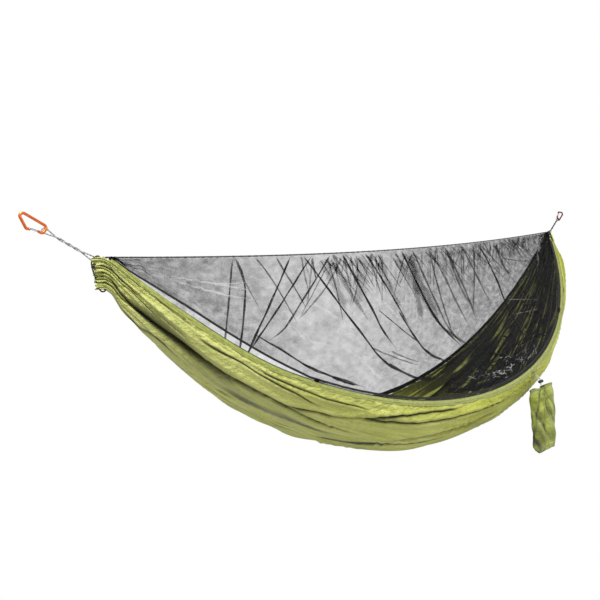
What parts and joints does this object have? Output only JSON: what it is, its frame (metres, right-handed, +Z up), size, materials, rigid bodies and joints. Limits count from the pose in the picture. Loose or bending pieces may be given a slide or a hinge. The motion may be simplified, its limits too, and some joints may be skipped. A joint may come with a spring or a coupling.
{
  "type": "camping hammock",
  "caption": "Gathered-end camping hammock with a zipped mosquito net on a ridge cord, hung from two wire-gate carabiners, with its stuff sack.",
  "frame": {"origin": "bearing point inside the left carabiner's wide bow, where the anchor strap pulls", "axes": "+X along the hammock to the right-hand anchor, +Y towards the far side, +Z up"},
  "size_m": [3.1304, 0.6943, 1.1637],
  "materials": {
    "body_cloth": "satin",
    "rim_binding": "satin",
    "net_mesh": "matte",
    "ridge_tape": "matte",
    "ridge_cord": "matte",
    "zip_tape": "matte",
    "zip_coil": "satin",
    "zip_metal": "satin",
    "end_cord": "matte",
    "loop_cord_light": "matte",
    "loop_cord_dark": "matte",
    "carabiner_anodised": "satin",
    "gate_wire": "polished",
    "sack_cloth": "satin",
    "sack_seam": "matte",
    "tab_webbing": "matte",
    "white_cord": "matte",
    "lock_plastic": "satin",
    "spring_steel": "satin"
  },
  "bodies": {
    "hammock": {"end_cord_left": "end_cord", "end_cord_right": "end_cord", "end_sleeve_left": "body_cloth", "end_sleeve_right": "body_cloth", "hammock_body": "body_cloth", "net_far": "net_mesh", "net_near": "net_mesh", "net_seam_far": "zip_tape", "ridge_cord": "ridge_cord", "ridge_knot_left": "ridge_cord", "ridge_knot_right": "ridge_cord", "ridge_tape": "ridge_tape", "rim_hem_far": "rim_binding", "rim_hem_near": "rim_binding", "sack_tab": "tab_webbing", "suspension_loop_left": "loop_cord_light", "suspension_loop_right": "loop_cord_dark", "zip_coil_body": "zip_coil", "zip_coil_net": "zip_coil", "zip_tape_body": "zip_tape", "zip_tape_net": "zip_tape"},
    "carabiner_left": {"carabiner_body_left": "carabiner_anodised"},
    "gate_left": {"carabiner_gate_left": "gate_wire"},
    "carabiner_right": {"carabiner_body_right": "carabiner_anodised"},
    "gate_right": {"carabiner_gate_right": "gate_wire"},
    "slider_left": {"zip_slider_left": "zip_metal"},
    "pull_left": {"zip_pull_left": "zip_metal"},
    "slider_right": {"zip_slider_right": "zip_metal"},
    "pull_right": {"zip_pull_right": "zip_metal"},
    "sack_loop": {"sack_loop": "white_cord"},
    "sack": {"stuff_sack": "sack_cloth", "sack_hem": "sack_cloth", "sack_bottom_seam": "sack_seam", "sack_drawcord": "white_cord"},
    "cord_lock": {"cord_lock_barrel": "lock_plastic", "cord_lock_spring": "spring_steel"},
    "lock_button": {"cord_lock_button": "lock_plastic"}
  },
  "joints": [
    {"name": "carabiner_left_swing", "type": "hinge", "parent": "hammock", "child": "carabiner_left", "pos_m": [0.05744, 0, -0.04173], "axis": [0.5878, 0, 0.809], "range_deg": [-90, 90]},
    {"name": "gate_left_open", "type": "hinge", "parent": "carabiner_left", "child": "gate_left", "pos_m": [0.0408, 0, -0.04423], "axis": [0, 1, 0], "range_deg": [0, 24], "stiffness_Nm_per_rad": 0.35, "springref_deg": -14.32},
    {"name": "carabiner_right_swing", "type": "hinge", "parent": "hammock", "child": "carabiner_right", "pos_m": [3.04832, 0, -0.05198], "axis": [0.5225, 0, -0.8526], "range_deg": [-90, 90]},
    {"name": "gate_right_open", "type": "hinge", "parent": "carabiner_right", "child": "gate_right", "pos_m": [3.05239, 0, -0.03565], "axis": [0, 1, 0], "range_deg": [0, 24], "stiffness_Nm_per_rad": 0.35, "springref_deg": -14.32},
    {"name": "zip_slider_left_travel", "type": "hinge", "parent": "hammock", "child": "slider_left", "pos_m": [1.54946, 0.33313, 0.5893], "axis": [0, -0.9074, 0.4202], "range_deg": [0, 30]},
    {"name": "zip_pull_left_flip", "type": "hinge", "parent": "slider_left", "child": "pull_left", "pos_m": [0.76057, -0.23883, -0.62764], "axis": [-0.506, -0.3625, -0.7827], "range_deg": [0, 150]},
    {"name": "zip_slider_right_travel", "type": "hinge", "parent": "hammock", "child": "slider_right", "pos_m": [1.54946, 0.33313, 0.5893], "axis": [0, -0.9074, 0.4202], "range_deg": [-30, 20]},
    {"name": "zip_pull_right_flip", "type": "hinge", "parent": "slider_right", "child": "pull_right", "pos_m": [2.42572, -0.21562, -0.57751], "axis": [-0.5621, 0.3476, 0.7505], "range_deg": [0, 150]},
    {"name": "sack_loop_swing", "type": "hinge", "parent": "hammock", "child": "sack_loop", "pos_m": [1.88446, -0.327, -0.82602], "axis": [-1, 0, 0], "range_deg": [0, 60]},
    {"name": "sack_swing", "type": "hinge", "parent": "sack_loop", "child": "sack", "pos_m": [1.88446, -0.3451, -0.84412], "axis": [0, 1, 0], "range_deg": [-30, 30]},
    {"name": "cord_lock_slide", "type": "slide", "parent": "sack", "child": "cord_lock", "axis": [0, 0, -1], "range_m": [-0.003, 0.006]},
    {"name": "cord_lock_press", "type": "slide", "parent": "cord_lock", "child": "lock_button", "axis": [1, 0, 0], "range_m": [0, 0.003], "stiffness_N_per_m": 300, "springref_m": -0.003, "deforming": ["cord_lock_spring"]}
  ]
}
